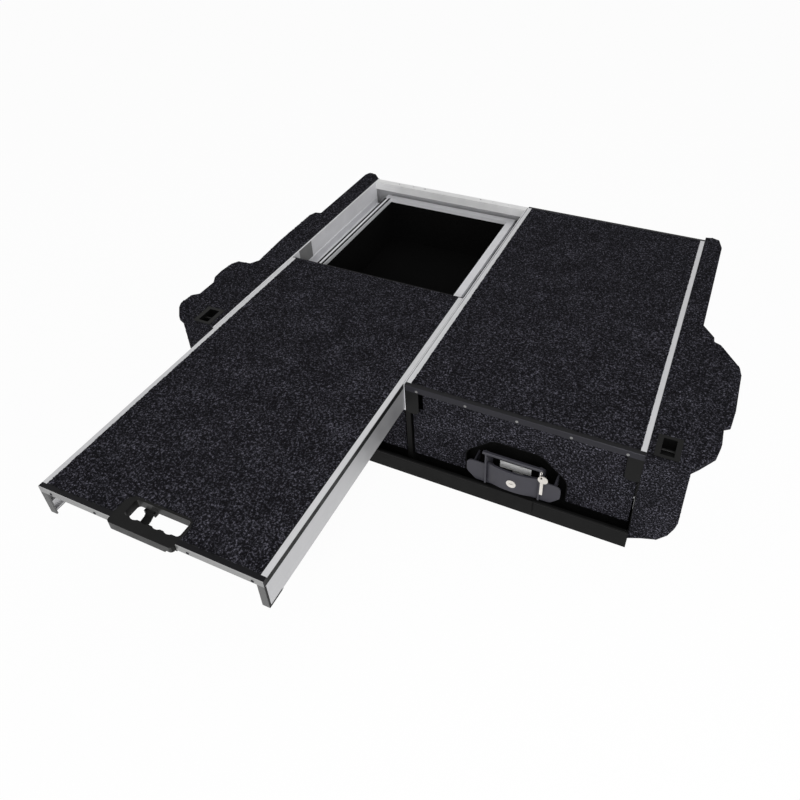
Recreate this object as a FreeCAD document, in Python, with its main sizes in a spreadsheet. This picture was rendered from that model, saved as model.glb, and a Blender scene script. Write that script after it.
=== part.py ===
import FreeCAD, Part
import Sketcher
import os
import re

# Twin drawer system for a pickup tray: a roller top over the left drawer,
# a fixed carpeted top over the right drawer, and a carpeted wing at each side.
# Millimetres, +Z up, +X to the right of the tray, drawers open towards -Y.
# Origin: on the tray floor, under the front edge, on the line between the units.
# The roller top stands in its pulled-out place.

os.makedirs("parts", exist_ok=True)
doc = FreeCAD.newDocument("truck_bed_drawer")
sheet = doc.addObject("Spreadsheet::Sheet", "Sizes")

SIZES = [
    # housing
    ("unit_length", 900),
    ("left_width", 540),
    ("right_width", 540),
    ("height", 280),
    ("deck", 16),
    ("carpet", 2),
    ("skin", 2),
    ("divider_left", 2),
    ("divider_right", 10),
    ("floor_sheet", 3),
    ("lip_out", 21),
    ("lip_height", 53),
    ("lip_wall", 3),
    ("strip_width", 12),
    ("trim_face", 3),
    ("trim_top", 8),
    ("beam_depth", 22),
    ("beam_height", 26),
    ("beam_inset", 6),
    ("beam_hole", 2.6),
    ("beam_big_hole", 3.4),
    ("anchor_side", 90),
    ("anchor_end", 100),
    ("anchor_hole", 4.5),
    # slide and its guides
    ("slide_out", 540),
    ("slide_play", 1),
    ("guide_drop", 82),
    ("guide_ledge", 27),
    ("guide_groove_drop", 55),
    ("rail_width", 16),
    ("rail_drop", 77),
    ("rail_shelf_drop", 44),
    ("rail_wall", 2),
    ("slide_roller_radius", 11.9),
    ("slide_roller_width", 8),
    ("slide_roller_y", 30),
    ("shoe_y", 300),
    ("shoe_length", 50),
    ("upright_width", 30),
    ("upright_wall", 3),
    ("glide_length", 28),
    ("cap_foot", 40),
    ("pin_radius", 4),
    ("pin_play", 0.05),
    # slide handle, measured from the slide's right edge and front edge
    ("grip_right", 191),
    ("grip_width", 155),
    ("grip_nose", 13),
    ("grip_bar", 25),
    ("grip_hole_depth", 37),
    ("grip_border_left", 19),
    ("grip_border_right", 4),
    ("grip_border_back", 3),
    ("grip_foot", 4),
    ("grip_round_left", 20),
    ("grip_round_right", 12),
    ("scallop_radius", 15),
    ("scallop_depth", 3),
    ("scallop_pitch", 27),
    ("lever_width", 18),
    ("lever_wall", 4),
    ("lever_x", 37),
    ("lever_pin", 2),
    ("lug_wall", 4),
    # drawers
    ("drawer_base_z", 58),
    ("drawer_floor", 12),
    ("drawer_top_drop", 50),
    ("drawer_gap", 37),
    ("drawer_wall", 18),
    ("cap_width", 22),
    ("cap_drop", 12),
    ("cap_wall", 1.6),
    ("drawer_back_gap", 12),
    ("face_y", 4),
    ("face_board", 15),
    ("face_gap", 5),
    ("shoulder_drop", 86),
    ("shoulder_in", 32),
    ("left_face_drop", 44),
    ("right_face_drop", 21),
    ("channel_depth", 18),
    ("channel_z", 84),
    ("channel_height", 32),
    ("channel_start", 60),
    ("channel_back", 20),
    ("drawer_roller_radius", 16),
    ("drawer_roller_width", 9),
    ("drawer_roller_y", 36),
    ("drawer_roller_z", 104),
    ("drawer_roller_in", 6.5),
    ("runner_clear", 0.2),
    # drawer handle
    ("dish_half", 122),
    ("dish_top_half", 57),
    ("dish_shoulder_z", 122),
    ("dish_top_z", 180),
    ("dish_wall", 2),
    ("dish_round", 38),
    ("dish_back_y", 30),
    ("shroud_half", 66),
    ("shroud_wall", 4),
    ("shroud_front", 20),
    ("shroud_top_z", 168),
    ("bar_height", 7),
    ("bar_depth", 6),
    ("cheek_slope", 56),
    ("wing_half", 112),
    ("wing_face", 14),
    ("wing_wall", 3),
    ("wing_top_z", 117),
    ("handle_base_z", 57),
    ("paddle_half", 61),
    ("paddle_top_z", 124),
    ("paddle_base_z", 62),
    ("paddle_bulge", 9),
    ("paddle_edge", 14),
    ("paddle_wall", 5),
    ("pivot_y", 11),
    ("pivot_z", 66),
    ("pivot_radius", 2.5),
    ("barrel_radius", 9.5),
    ("barrel_z", 90),
    ("barrel_front", 24),
    ("barrel_tail", 22),
    ("bolt_half", 12),
    ("bolt_wall", 4),
    ("bolt_height", 17),
    ("bolt_gap", 0.3),
    ("label_half", 38),
    ("label_height", 20),
    ("label_left", 6),
    ("label_z", 76),
    ("strike_half", 53),
    ("strike_drop", 40),
    ("strike_wall", 2),
    ("key_bow", 11.5),
    ("key_blade", 7),
    ("key_lean", 4.5),
    ("key_length", 61),
    ("key_wall", 2),
    ("key_loop", 11),
    ("key_wire", 0.7),
    ("bar_over", 4),
    # corner brackets, wings and tie-down hatches
    ("bracket_width", 33),
    ("bracket_drop", 84),
    ("bracket_round", 12),
    ("wing_board", 12),
    ("wing_front", 4),
    ("angle_leg", 25),
    ("angle_wall", 3),
    ("angle_end", 20),
    ("hatch_x", 39),
    ("hatch_y", 37),
    ("hatch_width", 51),
    ("hatch_length", 64),
    ("hatch_hole_width", 28),
    ("hatch_hole_length", 48),
    ("hatch_rim", 1.5),
    ("hatch_wall", 3),
    ("hatch_drop", 26),
    ("hatch_floor", 2),
    ("hatch_bar_drop", 9),
    ("hatch_bar", 3),
]
for row, (alias, value) in enumerate(SIZES, start=1):
    sheet.set("A%d" % row, str(value))
    sheet.setAlias("A%d" % row, alias)
doc.recompute()

# Outlines of the two wing tops: distance out from the housing's side, and y.
# Points past the rear wheel arch are given from the rear end of the housing.
RIGHT_WING = [(90, -4), (104, 13), (131, 52), (137, 88), (135, 142), (149, 152), (153, 200),
              (153, 322), (147, 349), (98, 417), (82, 424), (80, 441), (50, 480)]
RIGHT_WING_REAR = [(50, -28), (38, 14), (18, 20), (0, 16)]
LEFT_WING = [(90, -4), (109, 4), (136, 36), (145, 54), (142, 93), (126, 107), (126, 165), (139, 187),
             (142, 221), (138, 261), (127, 279), (90, 283), (75, 306), (82, 416), (82, 590), (75, 610),
             (57, 613)]
LEFT_WING_REAR = [(57, 8), (50, 26), (26, 24), (0, -2)]
# Outline of the wing fronts: distance out from the housing's side, and z.
WING_FRONT = [(0, 12), (27, 26), (60, 39), (79, 64), (89, 92), (93, 113)]
# Holes in the top of the rear beam: distance from the left unit's right side, and size.
BEAM_HOLES = [(65, "beam_hole"), (119, "beam_hole"), (161, "beam_big_hole"),
              (359, "beam_big_hole"), (401, "beam_hole"), (454, "beam_hole")]

NODES = []


def ref(text):
    """Turn the sheet's words in an expression into references to its cells."""
    return re.sub(r"[a-z][a-z_]*", lambda word: "Sizes." + word.group(0), text)


def size(text):
    """Value of an expression in the sheet's words."""
    return float(sheet.evalExpression(text))


def node(thing, label):
    """Name a finished sub-part and keep it for export."""
    thing.Label = label
    NODES.append(thing)
    return thing


def place(thing, x, y, z):
    for axis, text in zip("xyz", (x, y, z)):
        thing.setExpression("Placement.Base." + axis, ref(text))


def box(name, x0, x1, y0, y1, z0, z1):
    """Block between two corners."""
    solid = doc.addObject("Part::Box", name)
    solid.setExpression("Length", ref("(%s)-(%s)" % (x1, x0)))
    solid.setExpression("Width", ref("(%s)-(%s)" % (y1, y0)))
    solid.setExpression("Height", ref("(%s)-(%s)" % (z1, z0)))
    place(solid, x0, y0, z0)
    return solid


TURN = {"X": FreeCAD.Rotation(FreeCAD.Vector(0, 1, 0), 90),
        "Y": FreeCAD.Rotation(FreeCAD.Vector(1, 0, 0), -90),
        "Z": FreeCAD.Rotation()}


def rod(name, axis, radius, length, x, y, z):
    """Cylinder that starts at x, y, z and runs along an axis."""
    solid = doc.addObject("Part::Cylinder", name)
    solid.Placement = FreeCAD.Placement(FreeCAD.Vector(), TURN[axis])
    solid.setExpression("Radius", ref(radius))
    solid.setExpression("Height", ref(length))
    place(solid, x, y, z)
    return solid


def fuse(name, *solids):
    whole = doc.addObject("Part::MultiFuse", name)
    whole.Shapes = list(solids)
    whole.Refine = True
    return whole


def cut(name, base, *tools):
    tool = tools[0] if len(tools) == 1 else fuse(name + "_tools", *tools)
    rest = doc.addObject("Part::Cut", name)
    rest.Base = base
    rest.Tool = tool
    rest.Refine = True
    return rest


def group(name, *solids):
    """Like pieces that share one sub-part, each its own solid."""
    pieces = doc.addObject("Part::Compound", name)
    pieces.Links = list(solids)
    return pieces


PLANES = {"X": "YZ_Plane", "Y": "XZ_Plane", "Z": "XY_Plane"}


def sketch_on(body, name, axis, start):
    """Sketch across an axis, at a distance along it."""
    plane = [part for part in body.Origin.OriginFeatures if part.Role == PLANES[axis]][0]
    sketch = body.newObject("Sketcher::SketchObject", name)
    sketch.AttachmentSupport = (plane, [""])
    sketch.MapMode = "FlatFace"
    sign = "-" if axis == "Y" else ""
    sketch.setExpression("AttachmentOffset.Base.z", ref("%s(%s)" % (sign, start)))
    return sketch


def pin_point(sketch, edge, end, across, up):
    """Tie one end of an edge to the sheet."""
    for kind, text in (("DistanceX", across), ("DistanceY", up)):
        rule = Sketcher.Constraint(kind, -1, 1, edge, end, size(text))
        index = sketch.addConstraint(rule)
        sketch.setExpression("Constraints[%d]" % index, ref(text))


def add_polygon(sketch, points):
    """Closed outline whose corners are expressions in the sheet's words."""
    spots = [FreeCAD.Vector(size(across), size(up), 0) for across, up in points]
    first = sketch.GeometryCount
    count = len(points)
    for index in range(count):
        sketch.addGeometry(Part.LineSegment(spots[index], spots[(index + 1) % count]))
    for index in range(count):
        after = first + (index + 1) % count
        sketch.addConstraint(Sketcher.Constraint("Coincident", first + index, 2, after, 1))
    for index, (across, up) in enumerate(points):
        pin_point(sketch, first + index, 1, across, up)


def add_circle(sketch, across, up, radius):
    centre = FreeCAD.Vector(size(across), size(up), 0)
    circle = Part.Circle(centre, FreeCAD.Vector(0, 0, 1), size(radius))
    edge = sketch.addGeometry(circle)
    pin_point(sketch, edge, 3, across, up)
    index = sketch.addConstraint(Sketcher.Constraint("Radius", edge, size(radius)))
    sketch.setExpression("Constraints[%d]" % index, ref(radius))


def profile(name, axis, start, length, outline, holes=(), circles=()):
    """Section drawn across an axis and padded along it, with holes through it."""
    body = doc.addObject("PartDesign::Body", name)
    sketch = sketch_on(body, name + "_section", axis, start)
    add_polygon(sketch, outline)
    for hole in holes:
        add_polygon(sketch, hole)
    for across, up, radius in circles:
        add_circle(sketch, across, up, radius)
    pad = body.newObject("PartDesign::Pad", name + "_pad")
    pad.Profile = sketch
    pad.setExpression("Length", ref(length))
    pad.Reversed = axis == "Y"
    body.Tip = pad
    return body


def corner_edges(body, axis, corners):
    """Names of the padded edges that stand on the given corners of the section."""
    doc.recompute()
    picks = {"X": lambda p: (p.y, p.z), "Y": lambda p: (p.x, p.z), "Z": lambda p: (p.x, p.y)}[axis]
    wanted = [(size(across), size(up)) for across, up in corners]
    names = []
    for index, edge in enumerate(body.Tip.Shape.Edges, start=1):
        ends = [picks(vertex.Point) for vertex in edge.Vertexes]
        if len(ends) == 2 and max(abs(ends[0][0] - ends[1][0]), abs(ends[0][1] - ends[1][1])) < 1e-6:
            if any(abs(ends[0][0] - a) + abs(ends[0][1] - b) < 1e-4 for a, b in wanted):
                names.append("Edge%d" % index)
    return names


def round_corners(body, axis, corners, radius):
    """Round the upright edges at these corners of the section."""
    names = corner_edges(body, axis, corners)
    before = body.Tip
    fillet = body.newObject("PartDesign::Fillet", "%s_round_%d" % (body.Name, len(body.Group)))
    fillet.Base = (before, names)
    fillet.setExpression("Radius", ref(radius))
    body.Tip = fillet
    return body


# Inner faces of the two units, and the slide's two sides
LEFT_SIDE = "-left_width"
RIGHT_SIDE = "right_width"
LEFT_INNER = ("-left_width+skin", "-divider_left")
RIGHT_INNER = ("divider_right", "right_width-skin")
MIDDLE = {"left": "-left_width/2", "right": "right_width/2"}
DECK_Z = "height-deck"
PLY_TOP = "height-carpet"
SLIDE_LEFT = "-left_width+2*skin+slide_play"
SLIDE_RIGHT = "-divider_left-skin-slide_play"
SLIDE_FRONT = "-slide_out"
SLIDE_REAR = "unit_length-slide_out"


def make_base():
    """Floor sheet with four bolt holes, and the folded lip along its front."""
    spots = []
    for across in (LEFT_SIDE + "+anchor_side", RIGHT_SIDE + "-anchor_side"):
        for along in ("anchor_end", "unit_length-anchor_end"):
            spots.append((across, along, "anchor_hole"))
    corners = [(LEFT_SIDE, "-lip_out+lip_wall"), (RIGHT_SIDE, "-lip_out+lip_wall"),
               (RIGHT_SIDE, "unit_length"), (LEFT_SIDE, "unit_length")]
    node(profile("base_floor_body", "Z", "0", "floor_sheet", corners, circles=spots), "base_floor")
    back = "-lip_out+lip_wall"
    section = [("-lip_out", "0"), (back, "0"), (back, "lip_height-7"), ("-lip_out+6", "lip_height-4"),
               ("-lip_out+6", "lip_height"), ("-lip_out", "lip_height"), ("-lip_out-1.5", "lip_height-3"),
               ("-lip_out", "lip_height-6")]
    node(profile("front_lip_body", "X", LEFT_SIDE, "left_width+right_width", section), "front_lip")


def make_walls():
    node(box("left_wall", LEFT_SIDE, LEFT_SIDE + "+skin", "0", "unit_length", "floor_sheet", "height"),
         "left_side_panel")
    node(box("right_wall", RIGHT_SIDE + "-skin", RIGHT_SIDE, "0", "unit_length", "floor_sheet", DECK_Z),
         "right_side_panel")
    node(box("divider_wall", "-divider_left", "divider_right", "0", "unit_length-skin", "floor_sheet",
             DECK_Z), "centre_divider")
    left = box("back_left", LEFT_INNER[0], "-divider_left", "unit_length-skin", "unit_length",
               "floor_sheet", "height-beam_height-carpet")
    right = box("back_right", "-divider_left", "right_width-skin", "unit_length-skin", "unit_length",
                "floor_sheet", DECK_Z)
    node(fuse("back_wall", left, right), "back_panel")


def make_guides():
    """Pressed guide on each side of the roller top: a tall web with a groove, and a ledge."""
    pair = []
    for name, wall, way in (("guide_left", LEFT_INNER[0], "+"), ("guide_right", LEFT_INNER[1], "-")):
        face = "%s%sskin" % (wall, way)
        ledge = "%s%sguide_ledge" % (wall, way)
        groove = "%s%sskin/2" % (wall, way)
        low = "(height-guide_drop)+skin"
        section = [(wall, "(height-guide_drop)"), (ledge, "(height-guide_drop)"), (ledge, low), (face, low),
                   (face, "(height-guide_groove_drop)-1.5"), (groove, "(height-guide_groove_drop)"),
                   (face, "(height-guide_groove_drop)+1.5"), (face, "height"), (wall, "height")]
        pair.append(profile(name, "Y", "0", "unit_length-beam_inset-beam_depth", section))
    node(group("guide_pair", *pair), "slide_guides")


def slide_side(way):
    """Side of the roller top and the direction from it to the middle."""
    return (SLIDE_LEFT, "+", "-") if way == "left" else (SLIDE_RIGHT, "-", "+")


def span(edge, inwards, near, far):
    """Ordered pair of x values at two distances in from a side."""
    low = "%s%s(%s)" % (edge, inwards, near)
    high = "%s%s(%s)" % (edge, inwards, far)
    return (low, high) if inwards == "+" else (high, low)


def make_slide_supports():
    """Uprights on the guide ledges: a roller pin in front, and a hold-down shoe behind it."""
    chamber_z = "((height-rail_shelf_drop)+rail_wall+height-deck-rail_wall)/2"
    pieces = []
    for way in ("left", "right"):
        edge, inwards, outwards = slide_side(way)
        wall = LEFT_INNER[0] if way == "left" else LEFT_INNER[1]
        near = "guide_ledge-upright_wall"
        x0, x1 = span(wall, inwards, near, "guide_ledge")
        front = box("upright_front_" + way, x0, x1, "slide_roller_y-upright_width/2",
                    "slide_roller_y+upright_width/2", "(height-guide_drop)+skin", "height-deck-rail_wall-1")
        rear = box("upright_rear_" + way, x0, x1, "shoe_y", "shoe_y+upright_width",
                   "(height-guide_drop)+skin", "height-deck-rail_wall-1")
        reach = "guide_ledge-upright_wall-skin-slide_play-rail_wall-1"
        start = x0 + "-(%s)" % reach if way == "left" else x1
        pin = rod("roller_pin_" + way, "X", "pin_radius", reach, start, "slide_roller_y", chamber_z)
        shoe_x = span(edge, inwards, "rail_wall+0.4", "skin+slide_play")
        shoe_in, shoe_out = span(wall, inwards, "skin+slide_play+rail_wall+0.4", near)
        shoe = box("shoe_" + way, shoe_in, shoe_out, "shoe_y", "shoe_y+shoe_length",
                   "(height-rail_shelf_drop)+rail_wall+0.3", "height-deck-rail_wall-0.3")
        pieces.append(fuse("support_front_" + way, front, pin))
        pieces.append(fuse("support_rear_" + way, rear, shoe))
    node(group("support_group", *pieces), "slide_supports")


def make_slide_rollers():
    chamber_z = "((height-rail_shelf_drop)+rail_wall+height-deck-rail_wall)/2"
    for way in ("left", "right"):
        edge, inwards, outwards = slide_side(way)
        x0, x1 = span(edge, inwards, "rail_wall+1.5", "rail_wall+1.5+slide_roller_width")
        wheel = rod("wheel_" + way, "X", "slide_roller_radius", "slide_roller_width", x0,
                    "slide_roller_y", chamber_z)
        bore = rod("wheel_bore_" + way, "X", "pin_radius+pin_play", "slide_roller_width+2", x0 + "-1",
                   "slide_roller_y", chamber_z)
        node(cut("roller_" + way, wheel, bore), "slide_roller_" + way)


def make_rear_beam():
    """Square tube across the back of the left unit, with a row of holes in its top."""
    y0 = "unit_length-beam_inset-beam_depth"
    y1 = "unit_length-beam_inset"
    z0 = "height-beam_height"
    outline = [(y0, z0), (y1, z0), (y1, "height"), (y0, "height")]
    inside = [(y0 + "+skin", z0 + "+skin"), (y1 + "-skin", z0 + "+skin"), (y1 + "-skin", "height-skin"),
              (y0 + "+skin", "height-skin")]
    x0, x1 = LEFT_INNER
    tube = profile("beam_tube", "X", x0, "(%s)-(%s)" % (x1, x0), outline, holes=[inside])
    drills = []
    for index, (away, radius) in enumerate(BEAM_HOLES):
        drills.append(rod("beam_drill_%d" % index, "Z", radius, "2*skin", "-%g" % away,
                          "unit_length-beam_inset-beam_depth/3", "height-1.5*skin"))
    node(cut("beam_drilled", tube, *drills), "rear_beam")


def make_fixed_top():
    """Carpeted board, its two bright edge strips and its black end trims."""
    ply = box("top_ply", "0", RIGHT_SIDE, "0", "unit_length", DECK_Z, PLY_TOP)
    pile = box("top_pile", "strip_width", RIGHT_SIDE + "-strip_width", "trim_top", "unit_length-trim_top",
               PLY_TOP, "height")
    node(fuse("top_whole", ply, pile), "fixed_top_board")
    y0, y1 = "trim_top", "unit_length-trim_top"
    node(group("top_strips", box("top_strip_left", "0", "strip_width", y0, y1, PLY_TOP, "height"),
               box("top_strip_right", RIGHT_SIDE + "-strip_width", RIGHT_SIDE, y0, y1, PLY_TOP, "height")),
         "fixed_top_strips")
    front = profile("top_front_trim", "X", "0", RIGHT_SIDE,
                    [("-trim_face", DECK_Z), ("0", DECK_Z), ("0", PLY_TOP), ("trim_top", PLY_TOP),
                     ("trim_top", "height"), ("-trim_face+1", "height"), ("-trim_face", "height-1")])
    rear = box("top_rear_trim", "0", RIGHT_SIDE, "unit_length-trim_top", "unit_length", PLY_TOP, "height")
    node(group("top_trims", front, rear), "fixed_top_trims")


def make_brackets():
    """Moulded corner pieces under the ends of the front trim, rounded below."""
    pair = []
    for name, x0, x1 in (("bracket_left", "0", "bracket_width"),
                         ("bracket_right", "right_width-bracket_width", "right_width")):
        low = [(x0, "(height-bracket_drop)"), (x1, "(height-bracket_drop)")]
        plate = profile(name, "Y", "-trim_face", "trim_face", low + [(x1, DECK_Z), (x0, DECK_Z)])
        pair.append(round_corners(plate, "Y", low, "bracket_round"))
    node(group("bracket_pair", *pair), "corner_brackets")


def wing_points(side, points, rear, way):
    """Outline of a wing top, out from the housing's side."""
    corners = [(side, "-wing_front")]
    corners += [("%s%s%g" % (side, way, out), "%g" % along) for out, along in points]
    corners += [("%s%s%g" % (side, way, out), "unit_length+(%g)" % along) for out, along in rear]
    return corners


def make_wing(name, side, way, points, rear):
    """Carpeted wing top with a hole for the tie-down, and its front panel."""
    centre = "%s%shatch_x" % (side, way)
    hole = [("%s%s(hatch_hole_width/2+hatch_wall+0.2)" % (centre, a),
             "hatch_y%s(hatch_hole_length/2+hatch_wall+0.2)" % b)
            for a, b in (("-", "-"), ("+", "-"), ("+", "+"), ("-", "+"))]
    corners = wing_points(side, points, rear, way)
    top = profile(name + "_top_body", "Z", "height-wing_board", "wing_board", corners, holes=[hole])
    node(round_corners(top, "Z", corners[2:-1], "5"), name + "_top")
    low = [("%s%s%g" % (side, way, out), "%g" % up) for out, up in WING_FRONT]
    rest = [("%s%s90" % (side, way), "height-wing_board"), (side, "height-wing_board")]
    front = profile(name + "_front_body", "Y", "-wing_front", "wing_board", low + rest)
    node(front, name + "_front")
    bar_z = "height-hatch_bar_drop"
    x0, x1 = "%s-hatch_width/2" % centre, "%s+hatch_width/2" % centre
    y0, y1 = "hatch_y-hatch_length/2", "hatch_y+hatch_length/2"
    rim = box(name + "_rim", x0, x1, y0, y1, "height", "height+hatch_rim")
    sleeve = box(name + "_sleeve", centre + "-hatch_hole_width/2-hatch_wall",
                 centre + "+hatch_hole_width/2+hatch_wall", "hatch_y-hatch_hole_length/2-hatch_wall",
                 "hatch_y+hatch_hole_length/2+hatch_wall", "height-hatch_drop", "height")
    well = box(name + "_well", centre + "-hatch_hole_width/2", centre + "+hatch_hole_width/2",
               "hatch_y-hatch_hole_length/2", "hatch_y+hatch_hole_length/2", "height-hatch_drop+hatch_floor",
               "height+hatch_rim+1")
    bar = rod(name + "_bar", "X", "hatch_bar", "hatch_hole_width+hatch_wall",
              centre + "-hatch_hole_width/2-hatch_wall/2", "hatch_y", bar_z)
    frame = cut(name + "_frame", fuse(name + "_rim_sleeve", rim, sleeve), well)
    return fuse(name + "_hatch", frame, bar)


def make_wings():
    right = make_wing("right_wing", RIGHT_SIDE, "+", RIGHT_WING, RIGHT_WING_REAR)
    left = make_wing("left_wing", LEFT_SIDE, "-", LEFT_WING, LEFT_WING_REAR)
    node(group("hatch_pair", left, right), "tie_down_hatches")
    pair = []
    for name, side, way in (("angle_left", LEFT_SIDE, "-"), ("angle_right", RIGHT_SIDE, "+")):
        top = "height-wing_board"
        section = [(side, top + "-angle_leg"), ("%s%sangle_wall" % (side, way), top + "-angle_leg"),
                   ("%s%sangle_wall" % (side, way), top + "-angle_wall"),
                   ("%s%sangle_leg" % (side, way), top + "-angle_wall"),
                   ("%s%sangle_leg" % (side, way), top), (side, top)]
        start = "hatch_y+hatch_length/2+angle_end"
        pair.append(profile(name, "Y", start, "unit_length-(%s)-angle_end" % start, section))
    node(group("angle_pair", *pair), "wing_angles")


def make_slide_deck():
    """Carpeted board with the hand hole cut through its front edge."""
    x0, x1 = SLIDE_LEFT, SLIDE_RIGHT
    grip_x1 = SLIDE_RIGHT + "-grip_right"
    grip_x0 = grip_x1 + "-grip_width"
    grip_y1 = SLIDE_FRONT + "+grip_hole_depth+grip_bar-grip_nose+grip_border_back"
    ply = box("slide_ply", x0, x1, SLIDE_FRONT, SLIDE_REAR, DECK_Z, PLY_TOP)
    pile = box("slide_pile", x0 + "+strip_width", x1 + "-strip_width", SLIDE_FRONT + "+trim_top",
               SLIDE_REAR + "-trim_face", PLY_TOP, "height")
    notch_front = SLIDE_FRONT + "-trim_face-1"
    notch = profile("slide_notch", "Z", DECK_Z + "-1", "deck+2",
                    [(grip_x0, notch_front), (grip_x1, notch_front), (grip_x1, grip_y1), (grip_x0, grip_y1)])
    round_corners(notch, "Z", [(grip_x0, grip_y1)], "grip_round_left")
    round_corners(notch, "Z", [(grip_x1, grip_y1)], "grip_round_right")
    node(cut("slide_deck", fuse("slide_whole", ply, pile), notch), "slide_board")
    y0, y1 = SLIDE_FRONT + "+trim_top", SLIDE_REAR + "-trim_face"
    node(group("slide_strips", box("slide_strip_left", x0, x0 + "+strip_width", y0, y1, PLY_TOP, "height"),
               box("slide_strip_right", x1 + "-strip_width", x1, y0, y1, PLY_TOP, "height")),
         "slide_side_strips")
    section = [(SLIDE_FRONT + "-trim_face", DECK_Z), (SLIDE_FRONT, DECK_Z), (SLIDE_FRONT, PLY_TOP),
               (SLIDE_FRONT + "+trim_top", PLY_TOP), (SLIDE_FRONT + "+trim_top", "height"),
               (SLIDE_FRONT + "-trim_face+1", "height"), (SLIDE_FRONT + "-trim_face", "height-1")]
    left = profile("slide_trim_left", "X", x0, "(%s)-(%s)" % (grip_x0, x0), section)
    right = profile("slide_trim_right", "X", grip_x1, "(%s)-(%s)" % (x1, grip_x1), section)
    rear = box("slide_trim_rear", x0, x1, SLIDE_REAR + "-trim_face", SLIDE_REAR, PLY_TOP, "height")
    node(group("slide_trim_group", left, right, rear), "slide_trims")


def make_slide_rails():
    """Deep side rails: smooth outside, with a roller channel and a foot inside."""
    caps = []
    glides = []
    for way in ("left", "right"):
        edge, inwards, outwards = slide_side(way)
        wall = "%s%srail_wall" % (edge, inwards)
        open_side = "%s%srail_width" % (edge, inwards)
        toe = "%s%srail_width/2" % (edge, inwards)
        foot_z, shelf_z = "(height-rail_drop)", "(height-rail_shelf_drop)"
        section = [(edge, foot_z), (toe, foot_z), (toe, foot_z + "+rail_wall"), (wall, foot_z + "+rail_wall"),
                   (wall, shelf_z), (open_side, shelf_z), (open_side, shelf_z + "+rail_wall"),
                   (wall, shelf_z + "+rail_wall"),
                   (wall, DECK_Z + "-rail_wall"), (open_side, DECK_Z + "-rail_wall"),
                   (open_side, DECK_Z), (edge, DECK_Z)]
        node(profile("rail_" + way, "Y", SLIDE_FRONT, "unit_length", section), "slide_rail_" + way)
        x0, x1 = span(edge, inwards, "0", "rail_width")
        plate = box("cap_plate_" + way, x0, x1, SLIDE_FRONT + "-trim_face", SLIDE_FRONT,
                    "(height-rail_drop)-rail_wall", DECK_Z)
        foot_x = span(edge, inwards, "0", "rail_width/2")
        foot = box("cap_foot_" + way, foot_x[0], foot_x[1], SLIDE_FRONT + "-trim_face",
                   SLIDE_FRONT + "+cap_foot", "(height-rail_drop)-rail_wall", "(height-rail_drop)")
        caps.append(fuse("cap_" + way, plate, foot))
        glides.append(box("glide_" + way, foot_x[0], foot_x[1], SLIDE_REAR + "-glide_length", SLIDE_REAR,
                          "(height-guide_drop)+skin+0.3", "(height-rail_drop)"))
    node(group("cap_pair", *caps), "slide_end_caps")
    node(group("glide_pair", *glides), "slide_glides")


def make_slide_handle():
    """Moulded hand hole: a frame round it, and a grip bar scalloped for the fingers."""
    x1 = SLIDE_RIGHT + "-grip_right"
    x0 = x1 + "-grip_width"
    nose = SLIDE_FRONT + "-grip_nose"
    back = SLIDE_FRONT + "+grip_hole_depth+grip_bar-grip_nose+grip_border_back"
    base = DECK_Z + "-grip_foot"
    block = profile("grip_block", "Z", base, "height-(%s)" % base,
                    [(x0, nose), (x1, nose), (x1, back), (x0, back)])
    round_corners(block, "Z", [(x0, nose), (x1, nose)], "8")
    round_corners(block, "Z", [(x0, back)], "grip_round_left")
    round_corners(block, "Z", [(x1, back)], "grip_round_right")
    hx0, hx1 = x0 + "+grip_border_left", x1 + "-grip_border_right"
    hy0, hy1 = nose + "+grip_bar", back + "-grip_border_back"
    hole = profile("grip_hole", "Z", base + "-1", "deck+grip_foot+2",
                   [(hx0, hy0), (hx1, hy0), (hx1, hy1), (hx0, hy1)])
    round_corners(hole, "Z", [(hx0, hy0), (hx1, hy0), (hx1, hy1), (hx0, hy1)], "7")
    middle = "(%s+%s)/2" % (hx0, hx1)
    tools = [hole]
    for index in range(4):
        tools.append(rod("scallop_%d" % index, "Z", "scallop_radius", "deck+grip_foot+2",
                         "%s+scallop_pitch*(%g)" % (middle, index - 1.5),
                         "%s-scallop_depth+scallop_radius" % hy0, base + "-1"))
    gap_x = x1 + "-grip_border_left"
    notch = box("grip_notch", gap_x, x1 + "+1", nose + "-1", SLIDE_FRONT + "-trim_face", base + "-1",
                DECK_Z + "+2")
    # Release lever: a bent bar hung under the back of the hand hole, reaching under the grip
    lever_x = hx0 + "+lever_x-lever_width"
    top = DECK_Z + "-grip_foot-0.3"
    pin_z = top + "-lever_wall"
    frame = cut("grip_frame", block, *(tools + [notch]))
    lugs = []
    for side, x in (("left", lever_x + "-0.3-lug_wall"), ("right", lever_x + "+lever_width+0.3")):
        lugs.append(box("lever_lug_" + side, x, x + "+lug_wall", hy1 + "-5", hy1 + "+5", pin_z + "-5", base))
    pin = rod("lever_pin_rod", "X", "lever_pin", "lever_width+2*lug_wall+0.6", lever_x + "-0.3-lug_wall",
              hy1, pin_z)
    node(fuse("grip", frame, pin, *lugs), "slide_handle")
    section = [(hy1, top), (hy1, top + "-lever_wall"), (hy1 + "-14", top + "-12"),
               (hy0 + "+4", top + "-15"), (hy0 + "-8", top + "-11"), (hy0 + "-8", top + "-11+lever_wall"),
               (hy0 + "+4", top + "-15+lever_wall"), (hy1 + "-12", top + "-8")]
    arm = profile("lever_arm", "X", lever_x, "lever_width", section)
    hub = rod("lever_hub", "X", "lever_wall", "lever_width", lever_x, hy1, pin_z)
    bore = rod("lever_bore", "X", "lever_pin+pin_play", "lever_width+2", lever_x + "-1", hy1, pin_z)
    node(cut("lever", fuse("lever_whole", arm, hub), bore), "slide_release_lever")


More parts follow.
